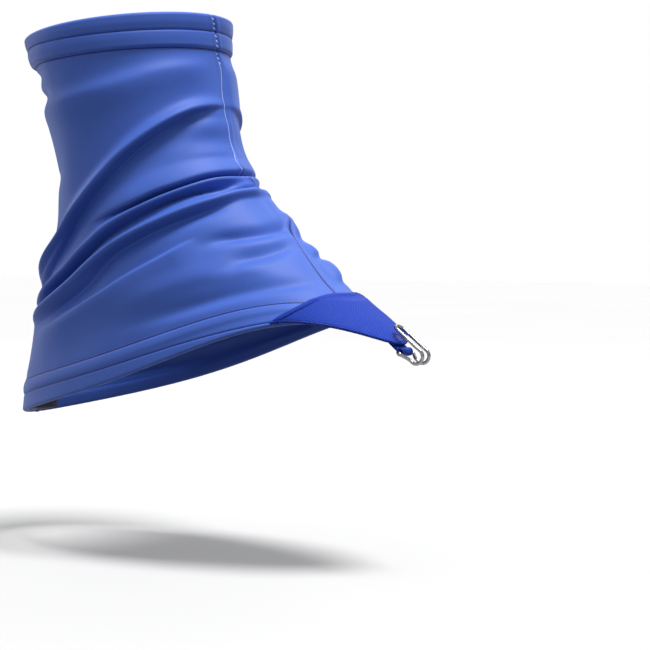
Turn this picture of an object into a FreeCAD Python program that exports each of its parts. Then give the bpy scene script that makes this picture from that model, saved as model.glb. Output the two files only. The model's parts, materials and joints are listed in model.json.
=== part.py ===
import FreeCAD, Part
import math
import os

import Sketcher

# Pull-on running gaiter for one foot, in millimetres.
# +X points forward over the toes, +Y to the inner side of the ankle, +Z up the leg.
# The origin is on the leg's axis, level with the lowest point of the hem.
#
# The sleeve is described by level rings called stations. Each station runs from its
# rear point to its front point; angle 0 is the front and 180 the rear.

document = FreeCAD.newDocument("gaiter")
sheet = document.addObject("Spreadsheet::Sheet", "sizes")

STATIONS = (
    # name, rear x, rear z, front x, front z, half width, side rise
    ("cuff_edge", -50, 179, 50, 189, 46, 0),
    ("cuff_seam", -48, 165, 50, 174, 45, 0),
    ("calf", -36, 129, 56, 142, 42, 0),
    ("ankle", -38, 89, 67, 115, 40, 0),
    ("instep", -51, 47, 97, 83, 40, 6),
    ("hem_seam", -59, 16, 128, 57, 42, 20),
    ("hem_edge", -62, 0, 142, 46, 43, 31),
    ("tab_reach", -64, -13, 153.5, 36.5, 43, 38),
)
MEASURES = ("rear_x", "rear_z", "front_x", "front_z", "half_width", "side_rise")

SIZES = (
    ("fabric", 0.9, "one layer of the stretch knit"),
    ("fold_lift", 0.5, "how far the folded cuff and hem stand out"),
    ("channel", 1.0, "clear depth of the elastic's channel"),
    ("elastic_thickness", 0.7, "flat elastic in the cuff and the hem"),
    ("thread", 0.4, "height of a line of stitches"),
    ("clearance", 0.03, "between a thread and the fabric under it"),
    ("seam_half", 2.5, "half width of the flat seam's stitches"),
    ("webbing", 1.4, "thickness of the front tab"),
    ("tab_underside", 1.15, "from the sleeve's skin out to the tab"),
    ("tab_half_angle", 50, "degrees round the sleeve to each end of the tab"),
    ("tab_top", 4.82, "station of the tab's upper edge at the front"),
    ("tab_end", 5.93, "station of the tab's upper edge at its ends"),
    ("tab_base", 6.04, "station of the tab's lower edge at its ends"),
    ("tab_drop", 0.78, "stations that the tip reaches below the tab's ends"),
    ("tip_half_angle", 46, "degrees round to where the tip begins"),
    ("patch_half_angle", 16, "degrees round to each side of the heel patch"),
    ("patch_thickness", 1.4, "hook tape"),
    ("patch_offset", 2.35, "from the sleeve's skin in to the heel patch"),
    ("wire_radius", 0.8, "lace hook wire"),
    ("bore_radius", 1.1, "keeper bore round the crossbar"),
    ("keeper_wall", 0.85, "one layer of keeper webbing"),
    ("keeper_width", 8, "keeper webbing"),
    ("keeper_tongue", 9, "keeper, from the crossbar to its sewn end"),
    ("keeper_reach", 2.6, "from the tab's tip to the crossbar"),
    ("keeper_depth", 0.3, "crossbar, inward from the sleeve's skin"),
    ("hook_slope", 38, "degrees that the hook leans down at the front"),
    ("hook_base_half", 7.0, "half length of the crossbar to its corners"),
    ("hook_half", 2.75, "half spacing of the two wires"),
    ("hook_neck", 5, "crossbar to where the wires turn parallel"),
    ("hook_front", 10, "crossbar to the front of the bend"),
    ("hook_rise", 6.4, "lower wires to upper wires"),
    ("hook_rear", 10, "crossbar back to the rounded rear end"),
    ("base_corner", 1.2, "bend radius at the crossbar's corners"),
    ("neck_corner", 3, "bend radius where the wires turn parallel"),
    ("bend_slack", 0.1, "straight wire left between two quarter bends"),
    ("wire_gap", 0.3, "gap between the wire's two butted ends"),
)


def fill_sheet():
    """Write every driving dimension into the sheet under its own alias."""
    rows = list(SIZES)
    for station in STATIONS:
        for measure, value in zip(MEASURES, station[1:]):
            rows.append((station[0] + "_" + measure, value, "sleeve outline"))
    for number, (name, value, note) in enumerate(rows, start=1):
        sheet.set(f"A{number}", name)
        sheet.set(f"B{number}", str(value))
        sheet.setAlias(f"B{number}", name)
        sheet.set(f"C{number}", note)
    document.recompute()


fill_sheet()


def size(name):
    """A driving dimension, read from the sheet."""
    return float(sheet.get(name))


PROFILE = {
    measure: [size(station[0] + "_" + measure) for station in STATIONS] for measure in MEASURES
}
LAST = len(STATIONS) - 1
HALF_TURN = [math.pi * step / 24 for step in range(25)]

CUFF_SEAM, HEM_SEAM, HEM_EDGE = 1.0, 5.0, 6.0
CUFF_ROW, HEM_ROW = 0.45, 5.55
CUFF_LOWER_ROW, HEM_UPPER_ROW = 0.96, 5.05


def at_station(measure, station):
    """One measure of the outline, smoothly between its stations."""
    values = PROFILE[measure]
    first = min(int(station), LAST - 1)
    part = station - first

    def slope(index):
        low = max(index - 1, 0)
        high = min(index + 1, LAST)
        return (values[high] - values[low]) / (high - low)

    square, cube = part ** 2, part ** 3
    return (
        (2 * cube - 3 * square + 1) * values[first]
        + (cube - 2 * square + part) * slope(first)
        + (3 * square - 2 * cube) * values[first + 1]
        + (cube - square) * slope(first + 1)
    )


def ring(angle, station):
    """A point of the sleeve's outer skin."""
    rear_x, rear_z, front_x, front_z, half_width, rise = (
        at_station(measure, station) for measure in MEASURES
    )
    turn = math.cos(angle)
    x = (front_x + rear_x) / 2 + (front_x - rear_x) / 2 * turn
    y = half_width * math.sin(angle)
    lift = rise * math.sin(angle) ** 2 * ((1 + turn) / 2) ** 3
    z = (front_z + rear_z) / 2 + (front_z - rear_z) / 2 * turn + lift
    return FreeCAD.Vector(x, y, z)


def skin(angle, station, depth):
    """A point at a depth inside the outer skin; a negative depth stands proud of it."""
    step = 0.001
    low = max(station - step, 0)
    high = min(station + step, LAST)
    around = ring(angle + step, station) - ring(angle - step, station)
    along = ring(angle, high) - ring(angle, low)
    inward = around.cross(along).normalize()
    if abs(math.sin(angle)) < 1e-9:
        inward.y = 0
    point = ring(angle, station) + inward * depth
    if abs(math.sin(angle)) < 1e-9:
        point.y = 0
    return point


def spaced(start, end, count):
    return [start + (end - start) * step / (count - 1) for step in range(count)]


def smooth_surface(grid):
    surface = Part.BSplineSurface()
    surface.interpolate(grid)
    return surface


def closed_solid(faces):
    """Sew faces into one solid that faces outward."""
    shell = Part.makeShell(faces)
    shell.sewShape()
    solid = Part.makeSolid(shell)
    if solid.Volume < 0:
        solid.reverse()
    return solid


def mirrored(shape):
    return shape.mirror(FreeCAD.Vector(0, 0, 0), FreeCAD.Vector(0, 1, 0))


def swept_half(loops, whole=False):
    """Sweep closed loops of (depth, station) corners round half the sleeve, front to rear.

    A loop's sides keep either their depth or their station. With whole=True the other
    half is added and the ring closes on itself; otherwise flat ends close the half.
    """
    faces = []
    end_edges = {0: [], 1: []}
    for loop in loops:
        sides = list(zip(loop, loop[1:] + loop[:1]))
        hoops = {}
        for (depth, start), (next_depth, end) in sides:
            if depth != next_depth:
                continue
            low, high = min(start, end), max(start, end)
            rows = max(4, int(math.ceil((high - low) * 5)) + 1)
            grid = [[skin(a, s, depth) for a in HALF_TURN] for s in spaced(low, high, rows)]
            surface = smooth_surface(grid)
            faces.append(surface.toShape())
            low_u, high_u, low_v, high_v = surface.bounds()
            hoops[(depth, low)] = surface.uIso(low_u)
            hoops[(depth, high)] = surface.uIso(high_u)
            end_edges[0].append(surface.vIso(low_v).toShape())
            end_edges[1].append(surface.vIso(high_v).toShape())
        for (depth, start), (next_depth, end) in sides:
            if start != end:
                continue
            one = hoops[(depth, start)]
            other = hoops[(next_depth, start)]
            faces.append(Part.makeRuledSurface(one.toShape(), other.toShape()))
            for index, angle in ((0, 0.0), (1, math.pi)):
                ends = [skin(angle, start, d) for d in (depth, next_depth)]
                end_edges[index].append(Part.makeLine(*ends))
    if whole:
        faces += [mirrored(face) for face in faces]
    else:
        for edges in end_edges.values():
            wires = [Part.Wire(group) for group in Part.sortEdges(edges)]
            faces.append(Part.makeFace(wires, "Part::FaceMakerBullseye"))
    return closed_solid(faces)


def slab(point, rows, columns, near, far):
    """A solid between two smooth skins over the same patch, closed by four edge strips."""
    skins = [
        smooth_surface([[point(row, column, depth) for column in columns] for row in rows])
        for depth in (near, far)
    ]
    faces = [surface.toShape() for surface in skins]
    for name, index in (("uIso", 0), ("uIso", 1), ("vIso", 2), ("vIso", 3)):
        edges = [getattr(surface, name)(surface.bounds()[index]).toShape() for surface in skins]
        faces.append(Part.makeRuledSurface(*edges))
    return closed_solid(faces)


def add_part(name, shape):
    """Put a finished shape in the document as a named sub-part."""
    feature = document.addObject("Part::Feature", name)
    feature.Label = name
    feature.Shape = shape
    feature.Placement = FreeCAD.Placement()
    return feature


FABRIC = size("fabric")
LIFT = -size("fold_lift")
TWO_LAYERS = LIFT + 2 * FABRIC
FOLD_INSIDE = TWO_LAYERS + size("channel")
CHANNEL = (LIFT + FABRIC, LIFT + FABRIC + size("channel"))
CUFF_CHANNEL = (0.07, 0.41)
HEM_CHANNEL = (5.6, 5.93)


def rectangle(depths, stations):
    near, far = depths
    low, high = stations
    return [(near, low), (near, high), (far, high), (far, low)]


def panel():
    """Half of the sleeve, its cuff and hem folded in and sewn down to form two channels."""
    outline = [
        (LIFT, 0), (LIFT, CUFF_SEAM), (0, CUFF_SEAM), (0, HEM_SEAM),
        (LIFT, HEM_SEAM), (LIFT, HEM_EDGE), (FOLD_INSIDE, HEM_EDGE), (FOLD_INSIDE, HEM_ROW),
        (TWO_LAYERS, HEM_ROW), (TWO_LAYERS, HEM_SEAM - 0.04), (FABRIC, HEM_SEAM - 0.04),
        (FABRIC, CUFF_SEAM + 0.04), (TWO_LAYERS, CUFF_SEAM + 0.04), (TWO_LAYERS, CUFF_ROW),
        (FOLD_INSIDE, CUFF_ROW), (FOLD_INSIDE, 0),
    ]
    channels = [rectangle(CHANNEL, CUFF_CHANNEL), rectangle(CHANNEL, HEM_CHANNEL)]
    return swept_half([outline] + channels)


def elastic(stations):
    """A flat elastic hoop lying loose in its channel."""
    middle = sum(CHANNEL) / 2
    half = size("elastic_thickness") / 2
    low, high = stations
    margin = 0.02
    loop = rectangle((middle - half, middle + half), (low + margin, high - margin))
    return swept_half([loop], whole=True)


THREAD_BASE = LIFT - size("clearance")
THREAD_TOP = THREAD_BASE - size("thread")


def stitched_row(station):
    """A row of stitches right round the fold, on its outer face."""
    half = 0.02
    loop = rectangle((THREAD_TOP, THREAD_BASE), (station - half, station + half))
    return swept_half([loop], whole=True)


def seam_thread(middle_angle, last_station):
    """The flat seam's stitches down one side of the sleeve, over the cuff and hem rows."""
    over_fold = THREAD_TOP - size("clearance")
    on_wall = -size("clearance")
    stretches = [(0.0, 0.93, over_fold), (1.03, min(last_station, 4.95), on_wall)]
    if last_station > HEM_SEAM:
        stretches.append((5.02, last_station, over_fold))

    def point(station, across, depth):
        angle = middle_angle + math.asin(across / at_station("half_width", station))
        return skin(angle, station, depth)

    half = size("seam_half")
    solids = []
    for start, end, base in stretches:
        rows = spaced(start, end, max(4, int((end - start) * 5) + 1))
        solids.append(slab(point, rows, spaced(-half, half, 5), base, base - size("thread")))
    return Part.makeCompound(solids)


def tab_edges(across):
    """Stations of the tab's upper and lower edges; across runs from -1 to 1 end to end."""
    top, end = size("tab_top"), size("tab_end")
    upper = top + (end - top) * abs(across) ** 3
    bend = across * size("tab_half_angle") / size("tip_half_angle") * math.pi / 2
    droop = math.cos(bend) if abs(bend) < math.pi / 2 else 0
    return upper, size("tab_base") + size("tab_drop") * droop


def tab_point(down, across, depth):
    """A point of the tab, down from 0 at its upper edge to 1 at its lower edge."""
    upper, lower = tab_edges(across)
    angle = across * math.radians(size("tab_half_angle"))
    return skin(angle, upper + (lower - upper) * down, depth)


TAB_INSIDE = -size("tab_underside")
TAB_OUTSIDE = TAB_INSIDE - size("webbing")
TAB_THREAD = TAB_OUTSIDE - 2 * size("clearance")


ROW_WIDTH = 0.05
ROW_REACH = 0.88


def tab_stitching(distance):
    """A row some stations in from the tab's edge; a negative distance is from the lower."""

    def point(down, across, depth):
        upper, lower = tab_edges(across)
        edge = upper if distance > 0 else lower
        angle = across * math.radians(size("tab_half_angle"))
        return skin(angle, edge + distance + ROW_WIDTH * (down - 0.5), depth)

    return slab(point, spaced(0, 1, 4), spaced(-ROW_REACH, ROW_REACH, 57), TAB_THREAD,
                TAB_THREAD - size("thread"))


def bartack():
    """Three short dense rows that sew the tab's tip to the keeper's tongue."""
    rows = []
    for down in (0.83, 0.87, 0.91):
        rows.append(slab(tab_point, spaced(down, down + 0.02, 4), spaced(-0.1, 0.1, 5), TAB_THREAD,
                         TAB_THREAD - size("thread")))
    return Part.makeCompound(rows)


def heel_patch():
    """Hook tape inside the rear of the hem; it grips the fleece on a shoe's heel."""
    half = math.radians(size("patch_half_angle"))
    near = size("patch_offset")
    angles = spaced(math.pi - half, math.pi + half, 9)
    return slab(lambda s, a, d: skin(a, s, d), spaced(5.05, 5.95, 5), angles, near,
                near + size("patch_thickness"))


def heel_stitching():
    """Four rows of stitches that make a frame on the heel patch."""
    half = math.radians(size("patch_half_angle"))
    near = size("patch_offset") + size("patch_thickness") + size("clearance")
    edge_angle, edge_station, inset, gap = 0.035, 0.035, 0.12, 0.005
    frames = []
    inner, outer = half * (1 - inset) - edge_angle, half * (1 - inset)
    low, high = 5.13, 5.87
    sides = (
        ((low, low + edge_station), (-outer, outer)),
        ((high - edge_station, high), (-outer, outer)),
        ((low + edge_station + gap, high - edge_station - gap), (inner, outer)),
        ((low + edge_station + gap, high - edge_station - gap), (-outer, -inner)),
    )
    for stations, angles in sides:
        columns = [math.pi + angle for angle in spaced(*angles, 7)]
        frames.append(slab(lambda s, a, d: skin(a, s, d), spaced(*stations, 4), columns, near,
                           near + size("thread")))
    return Part.makeCompound(frames)


# The crossbar's place and the slope of the sleeve there
TIP = size("tab_base") + size("tab_drop")
tip_point = skin(0, TIP, size("keeper_depth"))
tip_slope = (tip_point - skin(0, TIP - 0.1, size("keeper_depth"))).normalize()
HINGE = tip_point + tip_slope * size("keeper_reach")
TIP_LEAN = math.degrees(math.atan2(-tip_slope.z, tip_slope.x))


def leaning(degrees_down):
    """A placement at the crossbar whose X axis leans down towards the front."""
    return FreeCAD.Placement(HINGE, FreeCAD.Rotation(FreeCAD.Vector(0, 1, 0), degrees_down))


def make_keeper():
    """Webbing folded round the crossbar: a padded outline with a bore and a flat tongue."""
    body = document.addObject("PartDesign::Body", "hook_keeper")
    body.Label = "hook_keeper"
    sketch = body.newObject("Sketcher::SketchObject", "keeper_outline")
    planes = [f for f in body.Origin.OriginFeatures if f.Role == "XZ_Plane"]
    sketch.AttachmentSupport = [(planes[0], "")]
    sketch.MapMode = "FlatFace"
    wall, bore, tongue = size("keeper_wall"), size("bore_radius"), size("keeper_tongue")
    outside = bore + wall
    meet = math.sqrt(outside ** 2 - wall ** 2)
    centre, up = FreeCAD.Vector(0, 0, 0), FreeCAD.Vector(0, 0, 1)
    outline = ((-meet, wall), (-tongue, wall), (-tongue, -wall), (-meet, -wall))
    corners = [FreeCAD.Vector(x, y, 0) for x, y in outline]
    top, end, bottom = (
        sketch.addGeometry(Part.LineSegment(a, b), False) for a, b in zip(corners, corners[1:])
    )
    angle = math.atan2(wall, -meet)
    round_nose = Part.ArcOfCircle(Part.Circle(centre, up, outside), -angle, angle)
    arc = sketch.addGeometry(round_nose, False)
    hole = sketch.addGeometry(Part.Circle(centre, up, bore), False)
    rules = [
        ("Coincident", top, 2, end, 1), ("Coincident", end, 2, bottom, 1),
        ("Coincident", bottom, 2, arc, 1), ("Coincident", arc, 2, top, 1),
        ("Horizontal", top), ("Horizontal", bottom),
        ("Coincident", arc, 3, -1, 1), ("Coincident", hole, 3, -1, 1),
        ("Symmetric", end, 1, end, 2, -1),
    ]
    for rule in rules:
        sketch.addConstraint(Sketcher.Constraint(*rule))
    named = (
        ("outside_radius", ("Radius", arc, outside), "sizes.bore_radius + sizes.keeper_wall"),
        ("bore", ("Radius", hole, bore), "sizes.bore_radius"),
        ("tongue_thickness", ("DistanceY", end, 2, end, 1, 2 * wall), "2 * sizes.keeper_wall"),
        ("tongue_length", ("DistanceX", end, 1, -1, 1, tongue), "sizes.keeper_tongue"),
    )
    for name, rule, formula in named:
        index = sketch.addConstraint(Sketcher.Constraint(*rule))
        sketch.renameConstraint(index, name)
        sketch.setExpression("Constraints." + name, formula)
    pad = body.newObject("PartDesign::Pad", "keeper_pad")
    pad.Profile = sketch
    pad.Midplane = True
    pad.setExpression("Length", "sizes.keeper_width")
    body.Placement = leaning(TIP_LEAN)
    return body


def rounded_path(points, radii):
    """Straight runs through the points, joined at each inner point by a tangent arc."""
    edges = []
    last = points[0]
    for before, corner, after, radius in zip(points, points[1:], points[2:], radii):
        back = (before - corner).normalize()
        ahead = (after - corner).normalize()
        half_turn = (math.pi - back.getAngle(ahead)) / 2
        reach = radius * math.tan(half_turn)
        start = corner + back * reach
        end = corner + ahead * reach
        centre = corner + (back + ahead).normalize() * (radius / math.cos(half_turn))
        middle = centre + (corner - centre).normalize() * radius
        edges.append(Part.LineSegment(last, start).toShape())
        edges.append(Part.Arc(start, middle, end).toShape())
        last = end
    edges.append(Part.LineSegment(last, points[-1]).toShape())
    return Part.Wire(edges)


def hook_route():
    """The hook wire's centre line in its own frame, crossbar on the Y axis."""
    half, base, neck = size("hook_half"), size("hook_base_half"), size("hook_neck")
    front, rise, rear = size("hook_front"), size("hook_rise"), size("hook_rear")
    side = [
        (0, base, 0, size("base_corner")),
        (neck, half, 0, size("neck_corner")),
        (front, half, 0, rise / 2 - size("bend_slack")),
        (front, half, rise, rise / 2 - size("bend_slack")),
        (-rear, half, rise, half - size("bend_slack")),
    ]
    other = [(x, -y, z, radius) for x, y, z, radius in reversed(side)]
    gap = size("wire_gap") / 2
    corners = side + other
    points = [FreeCAD.Vector(0, gap, 0)]
    points += [FreeCAD.Vector(x, y, z) for x, y, z, radius in corners]
    points.append(FreeCAD.Vector(0, -gap, 0))
    return rounded_path(points, [radius for x, y, z, radius in corners])


def make_hook():
    """One length of wire bent to a closed-nosed lace hook, swept along its centre line."""
    path = document.addObject("Part::Feature", "hook_path")
    path.Shape = hook_route()
    path.Placement = leaning(size("hook_slope"))
    section = document.addObject("Part::Circle", "hook_section")
    section.setExpression("Radius", "sizes.wire_radius")
    facing = FreeCAD.Rotation(FreeCAD.Vector(0, 0, 1), FreeCAD.Vector(0, 1, 0))
    start = FreeCAD.Vector(0, size("wire_gap") / 2, 0)
    section.Placement = leaning(size("hook_slope")) * FreeCAD.Placement(start, facing)
    sweep = document.addObject("Part::Sweep", "lace_hook")
    sweep.Label = "lace_hook"
    sweep.Sections = [section]
    sweep.Spine = (path, [f"Edge{number + 1}" for number in range(len(path.Shape.Edges))])
    sweep.Solid = True
    sweep.Frenet = False
    return sweep, path


inner_panel = panel()
parts = [
    add_part("medial_panel", inner_panel),
    add_part("lateral_panel", mirrored(inner_panel)),
    add_part("cuff_elastic", elastic(CUFF_CHANNEL)),
    add_part("hem_elastic", elastic(HEM_CHANNEL)),
    add_part("cuff_upper_stitching", stitched_row(CUFF_ROW)),
    add_part("cuff_lower_stitching", stitched_row(CUFF_LOWER_ROW)),
    add_part("hem_upper_stitching", stitched_row(HEM_UPPER_ROW)),
    add_part("hem_lower_stitching", stitched_row(HEM_ROW)),
    add_part("front_seam_thread", seam_thread(0, 4.55)),
    add_part("rear_seam_thread", seam_thread(math.pi, 5.98)),
    add_part("front_tab",
             slab(tab_point, spaced(0, 1, 13), spaced(-1, 1, 81), TAB_INSIDE, TAB_OUTSIDE)),
    add_part("tab_upper_stitching",
             Part.makeCompound([tab_stitching(distance) for distance in (0.08, 0.22)])),
    add_part("tab_lower_stitching", tab_stitching(-0.1)),
    add_part("hook_bartack", bartack()),
    add_part("heel_patch", heel_patch()),
    add_part("heel_patch_stitching", heel_stitching()),
]
hook_keeper = make_keeper()
lace_hook, hook_path = make_hook()
parts += [hook_keeper, lace_hook]
document.recompute()

for item in document.Objects:
    if "Invalid" in item.State or "Error" in item.State:
        raise RuntimeError(f"{item.Name} failed: {item.State}")
for item in parts:
    if item.Shape.isNull() or not item.Shape.isValid():
        raise RuntimeError(f"{item.Label} has no valid shape")

os.makedirs("parts", exist_ok=True)
for item in parts:
    item.Shape.exportStep(f"parts/{item.Label}.step")
    box = item.Shape.BoundBox
    print(f"{item.Label}: {len(item.Shape.Solids)} solids, {item.Shape.Volume:.1f} mm3,",
          f"x {box.XMin:.1f} to {box.XMax:.1f}, y {box.YMin:.1f} to {box.YMax:.1f},",
          f"z {box.ZMin:.1f} to {box.ZMax:.1f}")
wire_volume = math.pi * size("wire_radius") ** 2 * hook_path.Shape.Length
print(f"hook wire {hook_path.Shape.Length:.1f} mm, volume ratio {lace_hook.Shape.Volume / wire_volume:.4f}")
print(f"crossbar at {HINGE.x:.2f}, {HINGE.z:.2f}, tab leans {TIP_LEAN:.1f} degrees")
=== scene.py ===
"""Running gaiter: fabric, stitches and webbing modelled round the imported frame.

The sleeve is worked out on the same level rings, called stations, as the CAD model.
Angles are in degrees: 0 is the front of the leg, 90 the outer side, 180 the rear, and
negative angles are the inner side. Depths and lifts are in millimetres from the
sleeve's skin, and everything becomes metres where a mesh is made.
"""
import json
import math

import bpy
import numpy as np
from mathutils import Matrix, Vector


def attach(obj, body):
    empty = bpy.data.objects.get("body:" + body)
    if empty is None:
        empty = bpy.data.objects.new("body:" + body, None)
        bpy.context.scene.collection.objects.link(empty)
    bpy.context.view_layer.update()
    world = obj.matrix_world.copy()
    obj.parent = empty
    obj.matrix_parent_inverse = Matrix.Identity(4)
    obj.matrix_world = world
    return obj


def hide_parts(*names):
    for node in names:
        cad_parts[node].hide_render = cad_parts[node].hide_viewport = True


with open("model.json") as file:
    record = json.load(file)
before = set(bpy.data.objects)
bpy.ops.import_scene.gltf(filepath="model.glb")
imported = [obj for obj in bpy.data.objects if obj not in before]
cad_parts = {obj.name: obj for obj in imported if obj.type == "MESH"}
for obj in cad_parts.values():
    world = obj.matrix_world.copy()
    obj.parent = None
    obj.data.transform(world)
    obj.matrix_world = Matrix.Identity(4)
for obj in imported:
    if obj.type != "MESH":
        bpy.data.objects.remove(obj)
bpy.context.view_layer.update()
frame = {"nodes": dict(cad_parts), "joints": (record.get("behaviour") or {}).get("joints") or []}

MM = 0.001
HINGE = np.array(frame["joints"][0]["pos_m"]) / MM

# rear x, rear z, front x, front z, half width, side rise of each station
STATIONS = np.array([
    (-50, 179, 50, 189, 46, 0),
    (-48, 165, 50, 174, 45, 0),
    (-36, 129, 56, 142, 42, 0),
    (-38, 89, 67, 115, 40, 0),
    (-51, 47, 97, 83, 40, 6),
    (-59, 16, 128, 57, 42, 20),
    (-62, 0, 142, 46, 43, 31),
    (-64, -13, 153.5, 36.5, 43, 38),
], float)

# station of the hem's upper stitch row, and of the cuff's and hem's folded edges
HEM_SEAM = 5.05
CUFF_EDGE, HEM_EDGE = 0, 6


# ---------------------------------------------------------------- curves and surface

def curve(knots, at):
    """Smooth curve through (position, value) knots, flat beyond its two ends."""
    x = np.array([k[0] for k in knots], float)
    y = np.array([k[1] for k in knots], float)
    rise = np.diff(y) / np.diff(x)
    slope = np.concatenate([rise[:1], (rise[1:] + rise[:-1]) / 2, rise[-1:]])
    at = np.clip(np.asarray(at, float), x[0], x[-1])
    i = np.clip(np.searchsorted(x, at) - 1, 0, len(x) - 2)
    gap = x[i + 1] - x[i]
    t = (at - x[i]) / gap
    return ((2 * t**3 - 3 * t**2 + 1) * y[i] + (t**3 - 2 * t**2 + t) * gap * slope[i]
            + (3 * t**2 - 2 * t**3) * y[i + 1] + (t**3 - t**2) * gap * slope[i + 1])


def smooth_step(low, high, at):
    """0 below low, 1 above high and an even curve between."""
    t = np.clip((np.asarray(at, float) - low) / (high - low), 0, 1)
    return t * t * (3 - 2 * t)


def bell(at, width):
    """1 at zero, falling away on both sides over about the width."""
    return np.exp(-(at / width) ** 2)


def ring(angle, station):
    """Points of the sleeve's skin, in millimetres."""
    levels = np.arange(len(STATIONS))
    rear_x, rear_z, front_x, front_z, half, rise = (
        curve(list(zip(levels, STATIONS[:, c])), station) for c in range(6))
    turn = np.cos(np.radians(angle))
    side = np.sin(np.radians(angle))
    x = (front_x + rear_x) / 2 + (front_x - rear_x) / 2 * turn
    z = (front_z + rear_z) / 2 + (front_z - rear_z) / 2 * turn
    z = z + rise * side**2 * ((1 + turn) / 2) ** 3
    return np.stack(np.broadcast_arrays(x, -half * side, z), -1)


def directions(angle, station):
    """Unit outward vectors, steps per degree round and steps per station down."""
    station = np.clip(station, 0, len(STATIONS) - 1)
    around = (ring(angle + 0.2, station) - ring(angle - 0.2, station)) / 0.4
    low = np.maximum(station - 0.01, 0)
    high = np.minimum(station + 0.01, len(STATIONS) - 1)
    along = (ring(angle, high) - ring(angle, low)) / (high - low)[..., None]
    outward = np.cross(around, along)
    outward /= np.linalg.norm(outward, axis=-1, keepdims=True)
    return outward, around, along


def skin(angle, station, lift, slide=0.0):
    """Points lifted off the skin and slid down along it, in millimetres."""
    angle, station = np.broadcast_arrays(np.asarray(angle, float), np.asarray(station, float))
    outward, around, along = directions(angle, station)
    down = along / np.linalg.norm(along, axis=-1, keepdims=True)
    lift = np.broadcast_to(lift, angle.shape)[..., None]
    slide = np.broadcast_to(slide, angle.shape)[..., None]
    return ring(angle, station) + outward * lift + down * slide


# ---------------------------------------------------------------- folds in the fabric

def fold(path, height, above, below, fade, hang=0.0, inner=0.7):
    """A ridge, or a crease where height is negative, that runs along a path of
    (angle, station) points. above and below are its widths on either side, hang is
    how far it droops, fade the angles over which it starts and ends, and inner its
    share of the height on the inner side of the leg."""
    return dict(path=path, height=height, above=above, below=below, fade=fade, hang=hang, inner=inner)


FOLDS = (
    # soft swelling under the cuff
    fold(((0, 1.27), (15, 1.32), (34, 1.38), (59, 1.5), (85, 1.57), (117, 1.6), (150, 1.55)),
         2.0, 4.5, 9, (-5, 25, 100, 140), inner=0.3),
    # the long ridge that falls from the shin round to the heel, and the crease under it
    fold(((-20, 1.83), (9, 1.83), (26, 1.89), (50, 2.13), (67, 2.36), (81, 2.59), (94, 2.79),
          (108, 2.98), (122, 3.17), (140, 3.38), (160, 3.59)),
         3.9, 3.0, 1.3, (-15, 38, 135, 170), hang=1.2, inner=0.3),
    fold(((0, 1.87), (27, 1.94), (45, 2.1), (62, 2.32), (74, 2.49), (83, 2.64), (96, 2.85),
          (109, 3.06), (119, 3.24), (133, 3.45), (160, 3.69)),
         -3.6, 1.1, 8.5, (0, 38, 140, 170), inner=0.3),
    # upper ankle fold and the sharp crease that it overhangs
    fold(((-25, 2.87), (4, 2.9), (33, 2.92), (47, 2.96), (58, 2.99), (66, 3.03), (80, 3.1), (100, 3.19)),
         3.0, 5, 1.2, (-45, 25, 66, 104), hang=1.8, inner=0.3),
    fold(((-25, 2.96), (3, 2.97), (26, 2.97), (40, 3.01), (49, 3.04), (63, 3.09), (72, 3.13), (90, 3.21)),
         -3.2, 1.1, 1.3, (-30, -4, 62, 98)),
    # second ankle fold
    fold(((-10, 3.03), (16, 3.04), (27, 3.05), (46, 3.1), (63, 3.16), (76, 3.22), (88, 3.3),
          (97, 3.39), (104, 3.46), (115, 3.59), (130, 3.71), (150, 3.85)),
         3.0, 2.0, 1.6, (-10, 30, 130, 165), hang=0.9, inner=0.3),
    fold(((-10, 3.12), (16, 3.13), (39, 3.16), (56, 3.21), (69, 3.28), (82, 3.36), (93, 3.44),
          (100, 3.52), (115, 3.67), (129, 3.79), (150, 3.93)),
         -4.0, 1.8, 1.9, (0, 36, 125, 160)),
    # third ankle fold
    fold(((-25, 3.21), (4, 3.25), (17, 3.26), (33, 3.31), (50, 3.36), (64, 3.41), (74, 3.45),
          (86, 3.52), (97, 3.62), (112, 3.79), (125, 3.9), (150, 4.06)),
         3.3, 2.0, 2.2, (-30, 5, 130, 165), hang=0.9, inner=0.3),
    fold(((-25, 3.15), (-16, 3.15), (17, 3.2), (30, 3.23), (45, 3.26)),
         -1.8, 1.0, 1.0, (-30, -12, 22, 42)),
    fold(((15, 3.34), (32, 3.38), (50, 3.44), (61, 3.48), (72, 3.53), (80, 3.58), (88, 3.64),
          (95, 3.74), (104, 3.89), (120, 4.04), (140, 4.16)),
         -3.4, 2.4, 4.6, (15, 46, 115, 150)),
    # thin edge below them
    fold(((35, 3.72), (45, 3.74), (56, 3.79), (69, 3.88), (83, 3.97), (98, 4.09), (120, 4.22), (150, 4.32)),
         2.2, 1.0, 8, (50, 64, 112, 150), hang=0.6),
    # broad swelling between that edge and the hem
    fold(((20, 4.3), (45, 4.3), (62, 4.27), (80, 4.3), (100, 4.35)), 1.7, 8, 6, (24, 45, 75, 105), inner=0),
    # shallow hollows over the instep
    fold(((-20, 3.72), (5, 3.78), (19, 3.81), (33, 3.82), (44, 3.83), (60, 3.88)),
         -2.6, 3.6, 3.2, (-25, 0, 34, 56), inner=0),
    fold(((0, 3.99), (12, 4.04), (27, 4.11), (40, 4.18), (47, 4.25), (60, 4.3)),
         -2.3, 4.2, 3.6, (0, 16, 34, 58), inner=0),
    fold(((0, 4.54), (18, 4.62), (35, 4.7), (52, 4.75), (67, 4.77), (90, 4.7), (110, 4.6)),
         -2.0, 5.5, 3.2, (5, 35, 62, 100)),
)

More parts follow.
